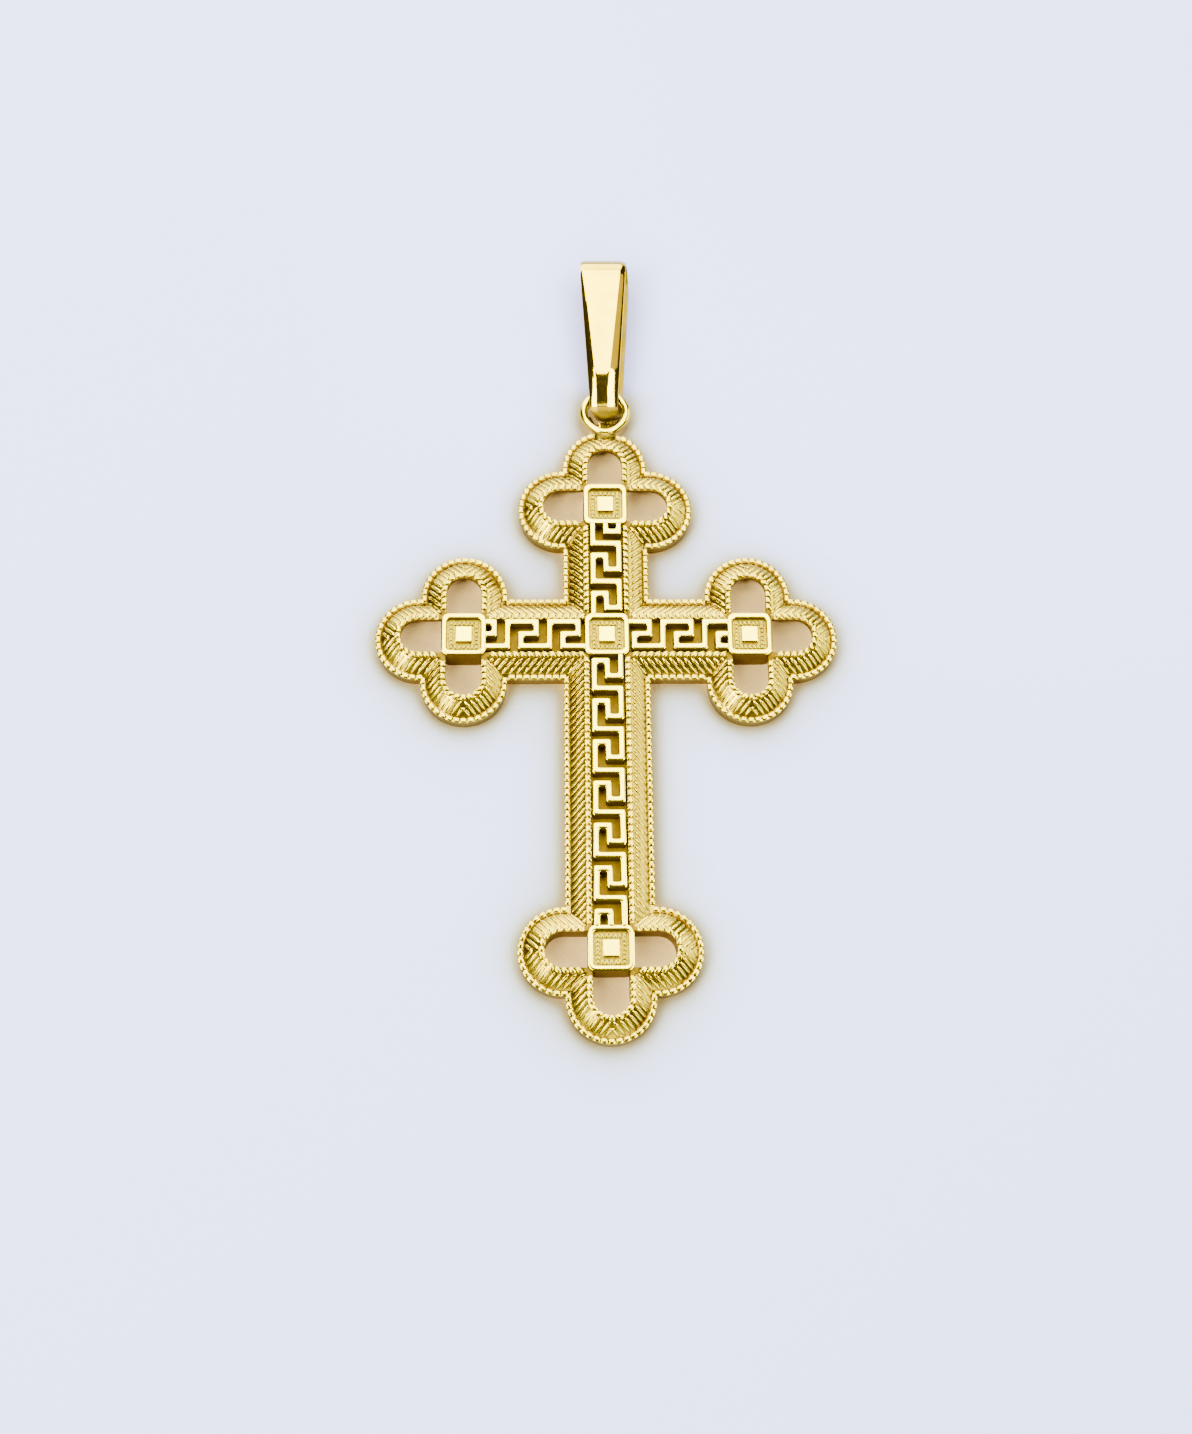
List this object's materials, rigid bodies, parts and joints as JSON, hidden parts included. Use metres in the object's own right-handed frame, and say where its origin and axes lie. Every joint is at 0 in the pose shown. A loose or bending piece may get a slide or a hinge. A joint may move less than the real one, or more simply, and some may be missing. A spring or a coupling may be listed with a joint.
{
  "type": "cross pendant",
  "caption": "Budded cross pendant with a raised key fret, beaded sloping border, square bosses and pierced lobes, on a soldered ring with a loose tapered bail.",
  "frame": {"origin": "on the surface it lies on, under the middle of the whole length and on the middle line of the cross", "axes": "+Z out of the front, +Y up the cross towards the bail, +X to the right seen from the front"},
  "size_m": [0.0286, 0.0514, 0.003],
  "materials": {
    "cast_gold": "cast relief with polished crests",
    "polished_gold": "mirror polished"
  },
  "bodies": {
    "root": {"cross": "cast_gold", "bail": "polished_gold"}
  },
  "joints": []
}
